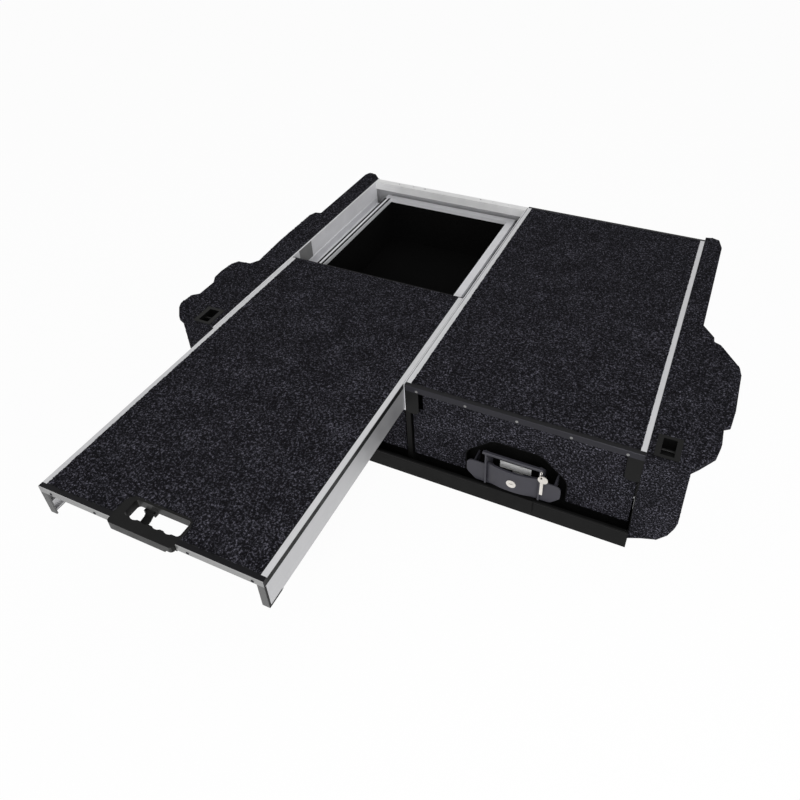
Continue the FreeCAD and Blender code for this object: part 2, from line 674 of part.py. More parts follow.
def make_channels():
    """Drawer channels on the housing walls, each with a stub pin for its front roller."""
    pieces = []
    for inner, name in ((LEFT_INNER, "left"), (RIGHT_INNER, "right")):
        for wall, inwards, hand in ((inner[0], "+", "a"), (inner[1], "-", "b")):
            face = "%s%sskin" % (wall, inwards)
            lip = "%s%schannel_depth" % (wall, inwards)
            top = "channel_z+channel_height"
            section = [(wall, "channel_z"), (lip, "channel_z"), (lip, "channel_z+skin"),
                       (face, "channel_z+skin"), (face, top + "-skin"), (lip, top + "-skin"),
                       (lip, top), (wall, top)]
            tag = "%s_%s" % (name, hand)
            rail = profile("channel_" + tag, "Y", "channel_start", "unit_length-channel_back-channel_start",
                           section)
            x0, x1 = span(wall, inwards, "0", "skin")
            tongue = box("tongue_" + tag, x0, x1, "drawer_roller_y-16", "channel_start+1", "channel_z",
                         "channel_z+channel_height")
            p0, p1 = span(wall, inwards, "0", "drawer_roller_in+drawer_roller_width+1.5")
            pin = rod("stub_" + tag, "X", "pin_radius", "(%s)-(%s)" % (p1, p0), p0, "drawer_roller_y",
                      "drawer_roller_z")
            pieces.append(fuse("rail_and_stub_" + tag, rail, tongue, pin))
    node(group("channel_group", *pieces), "drawer_channels")


def make_drawer(name, inner, face_top):
    """One drawer: box, caps, face board, runners and rollers."""
    x0, x1 = inner
    bx0, bx1 = x0 + "+drawer_gap", x1 + "-drawer_gap"
    offset = "(cap_width-drawer_wall)/2"
    wx0, wx1 = "%s+%s" % (bx0, offset), "%s-%s" % (bx1, offset)
    y0 = "face_y+face_board"
    cap_y1 = "unit_length-drawer_back_gap"
    wall_y1 = "%s-%s" % (cap_y1, offset)
    wall_top = "(height-drawer_top_drop)-cap_wall"
    shell = box(name + "_block", wx0, wx1, y0, wall_y1, "drawer_base_z", wall_top)
    hollow = box(name + "_hollow", wx0 + "+drawer_wall", wx1 + "-drawer_wall", y0 + "-1",
                 wall_y1 + "-drawer_wall", "drawer_base_z+drawer_floor", wall_top + "+1")
    middle = MIDDLE[name]
    notch = box(name + "_box_notch", "%s-dish_half-0.3" % middle, "%s+dish_half+0.3" % middle, y0 + "-1",
                "dish_back_y+0.2", "drawer_base_z-1", "drawer_base_z+drawer_floor+1")
    node(cut(name + "_box_cut", shell, hollow, notch), name + "_drawer_box")
    # U-shaped aluminium caps over the side and back walls
    cap_low = "(height-drawer_top_drop)-cap_drop"
    outer = [(bx0, y0), (bx0 + "+cap_width", y0), (bx0 + "+cap_width", cap_y1 + "-cap_width"),
             (bx1 + "-cap_width", cap_y1 + "-cap_width"), (bx1 + "-cap_width", y0), (bx1, y0),
             (bx1, cap_y1), (bx0, cap_y1)]
    cap = profile(name + "_cap_body", "Z", cap_low, "cap_drop", outer)
    slot_x0, slot_x1 = wx0 + "-0.2", wx1 + "+0.2"
    slot_y1 = wall_y1 + "+0.2"
    fat = "drawer_wall+0.4"
    inside = [(slot_x0, y0 + "-1"), ("%s+%s" % (slot_x0, fat), y0 + "-1"),
              ("%s+%s" % (slot_x0, fat), "%s-(%s)" % (slot_y1, fat)),
              ("%s-(%s)" % (slot_x1, fat), "%s-(%s)" % (slot_y1, fat)),
              ("%s-(%s)" % (slot_x1, fat), y0 + "-1"), (slot_x1, y0 + "-1"), (slot_x1, slot_y1),
              (slot_x0, slot_y1)]
    slot = profile(name + "_cap_slot", "Z", cap_low + "-1", "cap_drop+1-cap_wall", inside)
    node(cut(name + "_cap_cut", cap, slot), name + "_drawer_caps")
    # Face board: wide below, narrower between the rails above, arched opening for the handle
    fx0, fx1 = x0 + "+face_gap", x1 + "-face_gap"
    nx0, nx1 = x0 + "+shoulder_in", x1 + "-shoulder_in"
    shoulder_z = "(height-shoulder_drop)"
    outline = [(fx0, "drawer_base_z")] + arch(middle, "0", "drawer_base_z")
    outline += [(fx1, "drawer_base_z"), (fx1, shoulder_z), (nx1, shoulder_z), (nx1, face_top),
                (nx0, face_top), (nx0, shoulder_z), (fx0, shoulder_z)]
    board = profile(name + "_face_body", "Y", "face_y", "face_board", outline)
    round_corners(board, "Y", outline[2:6], "dish_round")
    node(board, name + "_drawer_face")
    make_runners(name, inner)
    make_handle(name, middle)


def make_runners(name, inner):
    """Runner angles that ride over the front rollers, with a nylon shoe in each channel."""
    pieces = []
    flange_z = "drawer_roller_z+drawer_roller_radius+runner_clear"
    for wall, inwards, hand in ((inner[0], "+", "a"), (inner[1], "-", "b")):
        tag = "%s_%s" % (name, hand)
        offset = "drawer_gap+(cap_width-drawer_wall)/2"
        w0, w1 = span(wall, inwards, offset + "-skin", offset)
        run_end = "(unit_length-channel_back)-10"
        web = box("runner_web_" + tag, w0, w1, "face_y+face_board", run_end,
                  "channel_z+4", flange_z + "+skin")
        f0, f1 = span(wall, inwards, "drawer_roller_in+0.5", offset)
        flange = box("runner_flange_" + tag, f0, f1, "face_y+face_board", run_end, flange_z,
                     flange_z + "+skin")
        s0, s1 = span(wall, inwards, "skin+0.4", offset)
        shoe = box("runner_shoe_" + tag, s0, s1, run_end + "-50", run_end + "-10",
                   "channel_z+skin+0.3", "channel_z+channel_height-skin-0.3")
        pieces.append(fuse("runner_" + tag, web, flange, shoe))
        r0, r1 = span(wall, inwards, "drawer_roller_in", "drawer_roller_in+drawer_roller_width")
        wheel = rod("drawer_wheel_" + tag, "X", "drawer_roller_radius", "drawer_roller_width", r0,
                    "drawer_roller_y", "drawer_roller_z")
        bore = rod("drawer_bore_" + tag, "X", "pin_radius+pin_play", "drawer_roller_width+2", r0 + "-1",
                   "drawer_roller_y", "drawer_roller_z")
        side = "left" if hand == "a" else "right"
        node(cut("drawer_roller_" + tag, wheel, bore), "%s_drawer_roller_%s" % (name, side))
    node(group("runner_pair_" + name, *pieces), name + "_drawer_runners")


def arch(middle, inset, low):
    """Arched outline of the handle's recess, moved in by a wall."""
    return [("%s-dish_half+%s" % (middle, inset), low),
            ("%s-dish_half+%s" % (middle, inset), "dish_shoulder_z"),
            ("%s-dish_top_half" % middle, "dish_top_z-" + inset),
            ("%s+dish_top_half" % middle, "dish_top_z-" + inset),
            ("%s+dish_half-%s" % (middle, inset), "dish_shoulder_z"),
            ("%s+dish_half-%s" % (middle, inset), low)]


def make_handle(name, middle):
    """Lockable pull handle in its recess, and the lock bolt behind it."""
    # Recess liner, open below
    outer_points = arch(middle, "0.2", "drawer_base_z")
    outer = profile(name + "_dish_outer", "Y", "face_y", "dish_back_y-face_y", outer_points)
    round_corners(outer, "Y", outer_points[1:5], "dish_round-0.2")
    inner_points = arch(middle, "(0.2+dish_wall)", "drawer_base_z-1")
    inner = profile(name + "_dish_inner", "Y", "face_y-1", "dish_back_y-face_y-dish_wall+1", inner_points)
    round_corners(inner, "Y", inner_points[1:5], "dish_round-dish_wall")
    node(cut(name + "_dish", outer, inner), name + "_handle_recess")
    back_y = "dish_back_y-dish_wall"
    # Shroud: two cheeks on the recess wall, a bar across their tops and a flat wing on each side
    ox0, ox1 = "%s-shroud_half" % middle, "%s+shroud_half" % middle
    cheek_in = "shroud_wall"
    cheek_view = [("-shroud_front", "handle_base_z+3"), (back_y, "handle_base_z+3"),
                  (back_y, "shroud_top_z-cheek_slope"), ("-shroud_front+bar_depth/2", "shroud_top_z"),
                  ("-shroud_front", "shroud_top_z")]
    cheeks = []
    for hand, x in (("a", ox0), ("b", ox1 + "-shroud_wall")):
        cheeks.append(profile(name + "_cheek_" + hand, "X", x, "shroud_wall", cheek_view))
    bar_front = "-shroud_front-bar_depth"
    bar_low = "shroud_top_z-bar_height"
    bar_back = "-shroud_front+1"
    bar_view = [(bar_front + "+1.5", bar_low), (bar_back, bar_low), (bar_back, "shroud_top_z"),
                (bar_front + "+1.5", "shroud_top_z"), (bar_front, "shroud_top_z-1.5"),
                (bar_front, bar_low + "+1.5")]
    bar = profile(name + "_bar", "X", ox0 + "-bar_over", "2*(shroud_half+bar_over)", bar_view)
    wx0, wx1 = "%s-wing_half" % middle, "%s+wing_half" % middle
    boat = [(wx0, "wing_top_z-37"), (wx0 + "+22", "handle_base_z"), (wx1 + "-22", "handle_base_z"),
            (wx1, "wing_top_z-37"), (wx1, "wing_top_z"), (wx0, "wing_top_z")]
    wings = profile(name + "_boat", "Y", "-wing_face", "wing_wall", boat)
    round_corners(wings, "Y", [boat[0], boat[1], boat[2], boat[3]], "14")
    round_corners(wings, "Y", [boat[4], boat[5]], "14")
    gate = box(name + "_gate", ox0 + "+" + cheek_in, ox1 + "-" + cheek_in, "-wing_face-1",
               "-wing_face+wing_wall+1", "handle_base_z+2.5", "wing_top_z+1")
    stays = []
    for hand, x in (("a", wx0 + "+14"), ("b", wx1 + "-14-shroud_wall")):
        stays.append(box(name + "_stay_" + hand, x, x + "+shroud_wall", "-wing_face+wing_wall", back_y,
                         "handle_base_z+22", "wing_top_z-8"))
    body = fuse(name + "_shroud_body", bar, cut(name + "_wings_cut", wings, gate), *(cheeks + stays))
    pivot_hole = rod(name + "_pivot_hole", "X", "pivot_radius+pin_play", "2*shroud_half+2", ox0 + "-1",
                     "-pivot_y", "pivot_z")
    wire_hole = rod(name + "_wire_hole", "Y", "1.6", "bar_depth+4", ox1 + "+bar_over-2.6", bar_front + "-1",
                    "shroud_top_z-bar_height/2")
    node(cut(name + "_shroud", body, pivot_hole, wire_hole), name + "_handle_shroud")
    make_paddle(name, middle)
    label_x = middle + "-label_left"
    node(box(name + "_label", label_x + "-label_half", label_x + "+label_half", back_y + "-1.5", back_y,
             "label_z", "label_z+label_height"), name + "_label_plate")
    bolt_y = back_y + "-bolt_gap-bolt_wall"
    bolt_z = "drawer_base_z-0.5"
    plate = box(name + "_bolt_plate", "%s-bolt_half" % middle, "%s+bolt_half" % middle, bolt_y,
                bolt_y + "+bolt_wall", bolt_z, bolt_z + "+bolt_height")
    node(plate, name + "_lock_bolt")


def make_paddle(name, middle):
    """Pull paddle with a bulged face and a pivot pin below, and the lock barrel in it."""
    x0, x1 = size("%s-paddle_half" % middle), size("%s+paddle_half" % middle)
    edge, bulge, wall = size("paddle_edge"), size("paddle_bulge"), size("paddle_wall")
    centre = size(middle)

    def bowed(offset):
        """Plan curve of the face, moved back by an offset."""
        left = FreeCAD.Vector(x0, -edge + offset, 0)
        crest = FreeCAD.Vector(centre, -edge - bulge + offset, 0)
        right = FreeCAD.Vector(x1, -edge + offset, 0)
        return Part.Arc(left, crest, right).toShape()

    front, back = bowed(0), bowed(wall)
    sides = [Part.makeLine(front.Vertexes[0].Point, back.Vertexes[0].Point),
             Part.makeLine(front.Vertexes[-1].Point, back.Vertexes[-1].Point)]
    wire = Part.Wire(Part.__sortEdges__([front, sides[1], back, sides[0]]))
    base_z, top_z = size("paddle_base_z"), size("paddle_top_z")
    plate = Part.Face(wire).extrude(FreeCAD.Vector(0, 0, top_z - base_z))
    plate.translate(FreeCAD.Vector(0, 0, base_z))
    pivot_y, pivot_z = -size("pivot_y"), size("pivot_z")
    pieces = []
    ear = size("shroud_wall")
    for x in (x0, x1 - ear):
        pieces.append(Part.makeBox(ear, pivot_y + 4 + edge - wall + 1, top_z - base_z - 8,
                                   FreeCAD.Vector(x, -edge + wall - 1, base_z)))
    along = FreeCAD.Vector(1, 0, 0)
    half = size("shroud_half")
    pieces.append(Part.makeCylinder(size("pivot_radius"), 2 * half - 1,
                                    FreeCAD.Vector(centre - half + 0.5, pivot_y, pivot_z), along))
    solid = plate.multiFuse(pieces)
    back_way = FreeCAD.Vector(0, 1, 0)
    bore_at = FreeCAD.Vector(centre, -size("barrel_front") - 5, size("barrel_z"))
    solid = solid.cut(Part.makeCylinder(size("barrel_radius") + size("pin_play"), 40, bore_at, back_way))
    paddle = doc.addObject("Part::Feature", name + "_paddle_shape")
    paddle.Shape = solid.removeSplitter()
    node(paddle, name + "_handle_paddle")
    drum = rod(name + "_drum", "Y", "barrel_radius", "12", middle, "-barrel_front", "barrel_z")
    flange = rod(name + "_flange", "Y", "barrel_radius+2", "1.3", middle, "-barrel_front-0.6", "barrel_z")
    tail = rod(name + "_tail", "Y", "3", "barrel_tail", middle, "-barrel_front", "barrel_z")
    cam_back = "-barrel_front+barrel_tail"
    cam = box(name + "_cam", "%s-3" % middle, "%s+3" % middle, cam_back + "-3", cam_back,
              "barrel_z", "barrel_z+12")
    slot = box(name + "_slot", "%s-4.5" % middle, "%s+4.5" % middle, "-barrel_front-1", "-barrel_front+4",
               "barrel_z-0.9", "barrel_z+0.9")
    node(cut(name + "_barrel", fuse(name + "_barrel_body", drum, flange, tail, cam), slot),
         name + "_lock_barrel")


def make_strikes():
    """Keeper plates folded over the front lip below each handle."""
    pair = []
    for side, middle in MIDDLE.items():
        front = "-lip_out-1.5"
        top = "lip_height"
        leg = "dish_back_y-dish_wall-bolt_gap-bolt_wall-2"
        section = [(front, top + "-strike_drop"), (front, top),
                   (leg + "-strike_wall", top), (leg + "-strike_wall", top + "-20"), (leg, top + "-20"),
                   (leg, top + "+strike_wall"), (front + "-strike_wall", top + "+strike_wall"),
                   (front + "-strike_wall", top + "-strike_drop")]
        pair.append(profile("strike_" + side, "X", "%s-strike_half" % middle, "2*strike_half", section))
    node(group("strike_pair", *pair), "strike_plates")


def make_key():
    """Key that hangs by a wire loop from the right-hand handle."""
    x = MIDDLE["right"] + "+shroud_half+bar_over-2.6"
    loop_y = "-shroud_front-bar_depth/2+0.5"
    loop_z = "shroud_top_z-bar_height/2-key_loop"
    y = loop_y + "-key_wall/2"
    hole_z = loop_z + "-key_loop-2.6"
    bow_x, bow_z = x + "+key_lean", hole_z + "-5"
    bow = rod("key_bow", "Y", "key_bow", "key_wall", bow_x, y, bow_z)
    hole = rod("key_hole", "Y", "3.5", "key_wall+2", x, y + "-1", hole_z)
    blade = box("key_blade", bow_x + "-2-key_blade/2", bow_x + "-2+key_blade/2", y, y + "+key_wall",
                bow_z + "+key_bow-key_length", bow_z)
    key = cut("key_body", fuse("key_whole", bow, blade), hole)
    loop_x = x + "-key_wire"
    ring = rod("key_ring", "X", "key_loop+key_wire", "2*key_wire", loop_x, loop_y, loop_z)
    eye = rod("key_ring_eye", "X", "key_loop-key_wire", "2*key_wire+2", loop_x + "-1", loop_y, loop_z)
    loop = cut("key_loop_ring", ring, eye)
    node(group("key_and_loop", key, loop), "key_on_wire")


make_base()
make_walls()
make_guides()
make_slide_supports()
make_slide_rollers()
make_rear_beam()
make_fixed_top()
make_brackets()
make_wings()
make_slide_deck()
make_slide_rails()
make_slide_handle()
make_channels()
make_strikes()
make_drawer("left", LEFT_INNER, "height-left_face_drop")
make_drawer("right", RIGHT_INNER, "height-right_face_drop")
make_key()
doc.recompute()

bad = [thing.Name for thing in doc.Objects if "Invalid" in thing.State or "Error" in thing.State]
if bad:
    raise RuntimeError("these failed to recompute: %s" % ", ".join(bad))
for thing in NODES:
    if thing.Shape.isNull() or not thing.Shape.isValid() or not thing.Shape.Solids:
        raise RuntimeError("bad shape: " + thing.Label)
    thing.Shape.exportStep("parts/%s.step" % thing.Label)
print("%d sub-parts written" % len(NODES))
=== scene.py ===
"""Twin drawer unit for a pickup tray: finishes, carpet pile, small fittings, light and camera."""

import math
import random

import bmesh
import bpy
from mathutils import Matrix, Vector
from mathutils.bvhtree import BVHTree


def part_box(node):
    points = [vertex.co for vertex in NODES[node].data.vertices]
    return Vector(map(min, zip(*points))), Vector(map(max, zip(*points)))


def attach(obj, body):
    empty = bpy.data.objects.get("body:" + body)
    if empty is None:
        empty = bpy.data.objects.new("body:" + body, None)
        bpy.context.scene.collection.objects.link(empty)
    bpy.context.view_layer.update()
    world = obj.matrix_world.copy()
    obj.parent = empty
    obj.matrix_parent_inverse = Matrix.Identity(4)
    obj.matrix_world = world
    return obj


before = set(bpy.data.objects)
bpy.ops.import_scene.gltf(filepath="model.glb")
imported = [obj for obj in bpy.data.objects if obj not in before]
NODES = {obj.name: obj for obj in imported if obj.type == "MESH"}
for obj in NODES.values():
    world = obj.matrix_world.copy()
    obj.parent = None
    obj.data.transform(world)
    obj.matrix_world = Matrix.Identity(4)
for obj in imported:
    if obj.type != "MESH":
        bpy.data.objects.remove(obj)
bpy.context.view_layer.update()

MM = 0.001
SIDES = ("left", "right")


# Shader helpers

# Places of the colour sockets on a Mix node
FIRST_COLOUR = 6
SECOND_COLOUR = 7
MIXED_COLOUR = 2


def colour_of(level, tint=(1.0, 1.0, 1.0)):
    """Grey of a linear level, with a slight tint."""
    return (level * tint[0], level * tint[1], level * tint[2], 1.0)


class Shader:
    """Node tree being built, with short calls for adding nodes and wires."""

    def __init__(self, tree):
        self.tree = tree

    def add(self, kind, **settings):
        node = self.tree.nodes.new(kind)
        for name, value in settings.items():
            setattr(node, name, value)
        return node

    def wire(self, source, target):
        self.tree.links.new(source, target)

    def feed(self, value, socket):
        """Give a socket a fixed value, or wire another socket to it."""
        if isinstance(value, bpy.types.NodeSocket):
            self.wire(value, socket)
        else:
            socket.default_value = value

    def ramp(self, source, stops):
        """Colour ramp over a value, with two (place, colour) stops."""
        node = self.add("ShaderNodeValToRGB")
        for element, (place, colour) in zip(node.color_ramp.elements, stops):
            element.position = place
            element.color = colour
        self.wire(source, node.inputs["Fac"])
        return node.outputs["Color"]

    def maths(self, operation, first, second):
        node = self.add("ShaderNodeMath", operation=operation)
        for socket, value in zip(node.inputs, (first, second)):
            self.feed(value, socket)
        return node.outputs["Value"]

    def noise(self, vector, scale, detail=2.0, roughness=0.5):
        node = self.add("ShaderNodeTexNoise")
        node.inputs["Detail"].default_value = detail
        node.inputs["Roughness"].default_value = roughness
        self.feed(scale, node.inputs["Scale"])
        self.wire(vector, node.inputs["Vector"])
        return node.outputs["Fac"]

    def remap(self, source, low, high, to_low=0.0, to_high=1.0):
        """Value spread from one range over another."""
        node = self.add("ShaderNodeMapRange")
        self.wire(source, node.inputs["Value"])
        for name, end in (("From Min", low), ("From Max", high), ("To Min", to_low), ("To Max", to_high)):
            self.feed(end, node.inputs[name])
        return node.outputs["Result"]

    def mix(self, share, first, second, blend_type="MIX"):
        """Colour between two colours."""
        node = self.add("ShaderNodeMix", data_type="RGBA", blend_type=blend_type)
        self.feed(share, node.inputs["Factor"])
        self.feed(first, node.inputs[FIRST_COLOUR])
        self.feed(second, node.inputs[SECOND_COLOUR])
        return node.outputs[MIXED_COLOUR]


def new_group(name, inputs, outputs):
    """Shader node group with named sockets; returns its builder, input node and output node."""
    tree = bpy.data.node_groups.new(name, "ShaderNodeTree")
    for socket, kind, value in inputs:
        item = tree.interface.new_socket(socket, in_out="INPUT", socket_type=kind)
        item.default_value = value
    for socket, kind in outputs:
        tree.interface.new_socket(socket, in_out="OUTPUT", socket_type=kind)
    shader = Shader(tree)
    return shader, shader.add("NodeGroupInput").outputs, shader.add("NodeGroupOutput").inputs


FLOAT = "NodeSocketFloat"
COLOUR = "NodeSocketColor"
VECTOR = "NodeSocketVector"
SURFACE_OUTPUTS = [("Color", COLOUR), ("Height", FLOAT), ("Roughness", FLOAT)]

FIBRE_SCALE = 1100.0
DRIFT_SCALE = 14.0
FLECK_SHARE = 0.74
FIBRE_SHARE = 0.26
DRIFT_SHARE = 0.06
DARKEST_FLECK = 0.365
PALEST_FLECK = 0.665
PALE_FALL_OFF = 1.4


def build_pile_group():
    """Needle-punched pile: dark fibres with pale flecks, and the height of the tufts."""
    shader, given, result = new_group(
        "pile_flecks",
        [("Fleck Scale", FLOAT, 210.0), ("Dark", COLOUR, colour_of(0.003)),
         ("Mid", COLOUR, colour_of(0.012)), ("Pale", COLOUR, colour_of(0.12))],
        SURFACE_OUTPUTS)
    place = shader.add("ShaderNodeTexCoord").outputs["Object"]
    flecks = shader.noise(place, given["Fleck Scale"], detail=3.0, roughness=0.75)
    fibres = shader.noise(place, FIBRE_SCALE, detail=2.0, roughness=0.7)
    drift = shader.noise(place, DRIFT_SCALE, detail=2.0)
    mixed = shader.maths("ADD", shader.maths("MULTIPLY", flecks, FLECK_SHARE),
                         shader.maths("MULTIPLY", fibres, FIBRE_SHARE))
    sway = shader.maths("SUBTRACT", drift, 0.5)
    mixed = shader.maths("ADD", mixed, shader.maths("MULTIPLY", sway, DRIFT_SHARE))
    level = shader.remap(mixed, DARKEST_FLECK, PALEST_FLECK)
    doubled = shader.maths("MULTIPLY", level, 2.0)
    lower = shader.mix(shader.maths("MINIMUM", doubled, 1.0), given["Dark"], given["Mid"])
    lift = shader.maths("MAXIMUM", shader.maths("SUBTRACT", doubled, 1.0), 0.0)
    upper = shader.mix(shader.maths("POWER", lift, PALE_FALL_OFF), lower, given["Pale"])
    shader.wire(upper, result["Color"])
    shader.wire(mixed, result["Height"])
    shader.wire(shader.maths("ADD", shader.maths("MULTIPLY", level, -0.15), 0.98), result["Roughness"])
    return shader.tree


CLOUD_LOW = 0.3
CLOUD_HIGH = 0.7
LINE_SHARE = 0.45
CLOUD_SHARE = 0.55
HANDLING_SCALE = 22.0
POLISH_SCALE = 35.0


def finish_group(shader, given, result, marks, darkest, height):
    """Outputs shared by the drawn and the moulded finish: shaded base, height and roughness."""
    tone = shader.ramp(marks, [(CLOUD_LOW, colour_of(darkest)), (CLOUD_HIGH, colour_of(1.0))])
    shader.wire(shader.mix(1.0, given["Base"], tone, "MULTIPLY"), result["Color"])
    shader.wire(height, result["Height"])
    rough = shader.remap(marks, CLOUD_LOW, CLOUD_HIGH, given["Rough Low"], given["Rough High"])
    shader.wire(rough, result["Roughness"])
    return shader.tree


def build_brushed_group():
    """Fine lines along one axis, with a slow cloud of handling marks over them."""
    shader, given, result = new_group(
        "drawn_lines",
        [("Line Scale", VECTOR, (900.0, 6.0, 900.0)), ("Base", COLOUR, colour_of(0.5)),
         ("Rough Low", FLOAT, 0.28), ("Rough High", FLOAT, 0.42)],
        SURFACE_OUTPUTS)
    place = shader.add("ShaderNodeTexCoord").outputs["Object"]
    stretch = shader.add("ShaderNodeVectorMath", operation="MULTIPLY")
    shader.wire(place, stretch.inputs[0])
    shader.wire(given["Line Scale"], stretch.inputs[1])
    lines = shader.noise(stretch.outputs["Vector"], 1.0, detail=3.0, roughness=0.6)
    cloud = shader.noise(place, HANDLING_SCALE, detail=4.0, roughness=0.6)
    marks = shader.maths("ADD", shader.maths("MULTIPLY", lines, LINE_SHARE),
                         shader.maths("MULTIPLY", cloud, CLOUD_SHARE))
    return finish_group(shader, given, result, marks, 0.86, lines)


def build_grain_group():
    """Fine moulded grain with a slow change of gloss where hands have polished it."""
    shader, given, result = new_group(
        "moulded_grain",
        [("Grain Scale", FLOAT, 1500.0), ("Base", COLOUR, colour_of(0.02)),
         ("Rough Low", FLOAT, 0.38), ("Rough High", FLOAT, 0.6)],
        SURFACE_OUTPUTS)
    place = shader.add("ShaderNodeTexCoord").outputs["Object"]
    grain = shader.noise(place, given["Grain Scale"], detail=2.0)
    cloud = shader.noise(place, POLISH_SCALE, detail=3.0)
    return finish_group(shader, given, result, cloud, 0.8, grain)


PILE = build_pile_group()
LINES = build_brushed_group()
GRAIN = build_grain_group()


# A face looks forward when its normal's Y is below this
FRONT_LIMIT = -0.7


def finish_from(name, group, values, bump, depth, front=None, **fixed):
    """Principled material from a group, with a front colour, if given, on faces that look forward."""
    material = bpy.data.materials.new(name)
    material.use_nodes = True
    shader = Shader(material.node_tree)
    surface = material.node_tree.nodes["Principled BSDF"]
    pattern = shader.add("ShaderNodeGroup")
    pattern.node_tree = group
    for socket, value in values.items():
        pattern.inputs[socket].default_value = value
    relief = shader.add("ShaderNodeBump")
    relief.inputs["Strength"].default_value = bump
    relief.inputs["Distance"].default_value = depth
    shader.wire(pattern.outputs["Height"], relief.inputs["Height"])
    shader.wire(relief.outputs["Normal"], surface.inputs["Normal"])
    colour = pattern.outputs["Color"]
    if front:
        way = shader.add("ShaderNodeSeparateXYZ")
        shader.wire(shader.add("ShaderNodeTexCoord").outputs["Normal"], way.inputs["Vector"])
        faces_front = shader.maths("LESS_THAN", way.outputs["Y"], FRONT_LIMIT)
        colour = shader.mix(faces_front, colour, front)
    shader.wire(colour, surface.inputs["Base Color"])
    shader.wire(pattern.outputs["Roughness"], surface.inputs["Roughness"])
    for socket, value in fixed.items():
        surface.inputs[socket.replace("_", " ")].default_value = value
    return material


# Slight blue that the dark surfaces share
COOL = (0.95, 0.93, 1.17)
CARPET = finish_from("charcoal_carpet", PILE, {
    "Fleck Scale": 240.0, "Dark": colour_of(0.002, COOL), "Mid": colour_of(0.0095, COOL),
    "Pale": colour_of(0.19, COOL)}, 0.9, 0.0016, Specular_IOR_Level=0.05)
LINING = finish_from("drawer_lining", PILE, {
    "Fleck Scale": 300.0, "Dark": colour_of(0.0012), "Mid": colour_of(0.0025),
    "Pale": colour_of(0.006)}, 0.4, 0.001, Specular_IOR_Level=0.05)
BLACK_EDGE = finish_from("sealed_board_edge", GRAIN, {"Base": colour_of(0.006), "Grain Scale": 700.0},
                         0.15, 0.0004, Specular_IOR_Level=0.15)
ALUMINIUM = finish_from("satin_aluminium", LINES, {
    "Base": colour_of(0.56, (1.0, 1.0, 1.02)), "Rough Low": 0.4, "Rough High": 0.55}, 0.05, 0.0002,
    Metallic=0.8)
PANEL = finish_from("side_panel_aluminium", LINES, {
    "Base": colour_of(0.62, (1.0, 1.0, 1.02)), "Rough Low": 0.4, "Rough High": 0.55}, 0.05, 0.0002,
    front=colour_of(0.012), Metallic=0.85)
BRIGHT = finish_from("bright_inner_aluminium", LINES, {
    "Base": colour_of(0.85, (1.0, 1.0, 1.03)), "Rough Low": 0.4, "Rough High": 0.5}, 0.05, 0.0002,
    Metallic=0.2)
CROSS_LINES = finish_from("beam_aluminium", LINES, {
    "Base": colour_of(0.92), "Line Scale": (6.0, 900.0, 900.0), "Rough Low": 0.4, "Rough High": 0.5},
    0.05, 0.0002, Metallic=0.2)
DARK_TRIM = finish_from("black_anodised_trim", LINES, {
    "Base": colour_of(0.006, COOL), "Line Scale": (6.0, 900.0, 900.0), "Rough Low": 0.34, "Rough High": 0.5},
    0.05, 0.0002, front=colour_of(0.022, COOL), Metallic=0.2, Specular_IOR_Level=0.15)
SLIDE_TRIM = finish_from("two_tone_trim", LINES, {
    "Base": colour_of(0.006, COOL), "Line Scale": (6.0, 900.0, 900.0), "Rough Low": 0.34, "Rough High": 0.5},
    0.05, 0.0002, front=colour_of(0.3), Metallic=0.7, Specular_IOR_Level=0.25)
BLACK_STEEL = finish_from("black_powder_coat", GRAIN, {
    "Base": colour_of(0.005), "Grain Scale": 900.0, "Rough Low": 0.45, "Rough High": 0.6}, 0.12, 0.0003,
    Specular_IOR_Level=0.08)
ZINC = finish_from("zinc_plate", GRAIN, {
    "Base": colour_of(0.5), "Grain Scale": 300.0, "Rough Low": 0.3, "Rough High": 0.45}, 0.05, 0.0002,
    Metallic=0.9)
BLACK_PLASTIC = finish_from("black_moulding", GRAIN, {
    "Base": colour_of(0.004), "Rough Low": 0.36, "Rough High": 0.5}, 0.1, 0.0002, Specular_IOR_Level=0.12)
# Black grip whose forward faces take a lighter colour: a painted sheen that stands in for the light the
# front of the grip reflects
GRIP_BLACK_PAINTED_SHEEN = finish_from("black_grip_painted_front_sheen", GRAIN, {
    "Base": colour_of(0.004), "Rough Low": 0.25, "Rough High": 0.4}, 0.1, 0.0002, front=colour_of(0.03),
    Specular_IOR_Level=0.12)
RECESS_BLACK = finish_from("black_recess_moulding", GRAIN, {
    "Base": colour_of(0.0025), "Rough Low": 0.5, "Rough High": 0.65}, 0.1, 0.0002, Specular_IOR_Level=0.06)
STOP_GREY = finish_from("grey_stop_plate", GRAIN, {
    "Base": colour_of(0.2), "Rough Low": 0.45, "Rough High": 0.6}, 0.05, 0.0002)
GREY_PLASTIC = finish_from("grey_moulding", GRAIN, {
    "Base": colour_of(0.042, COOL), "Rough Low": 0.4, "Rough High": 0.55}, 0.1, 0.0002,
    Specular_IOR_Level=0.3)
CAP_GREY = finish_from("grey_end_cap", GRAIN, {
    "Base": colour_of(0.1), "Rough Low": 0.45, "Rough High": 0.6}, 0.1, 0.0002)
NYLON = finish_from("plain_nylon", GRAIN, {"Base": colour_of(0.5)}, 0.05, 0.0002)
BLACK_NYLON = finish_from("black_nylon", GRAIN, {"Base": colour_of(0.012)}, 0.05, 0.0002)
NICKEL = finish_from("worn_nickel", GRAIN, {
    "Base": colour_of(0.75, (1.05, 1.0, 0.94)), "Grain Scale": 400.0, "Rough Low": 0.2, "Rough High": 0.38},
    0.08, 0.0002, Metallic=0.8)
LABEL = finish_from("bare_label_plate", LINES, {
    "Base": colour_of(0.95), "Line Scale": (40.0, 900.0, 900.0), "Rough Low": 0.45, "Rough High": 0.6},
    0.05, 0.0002)

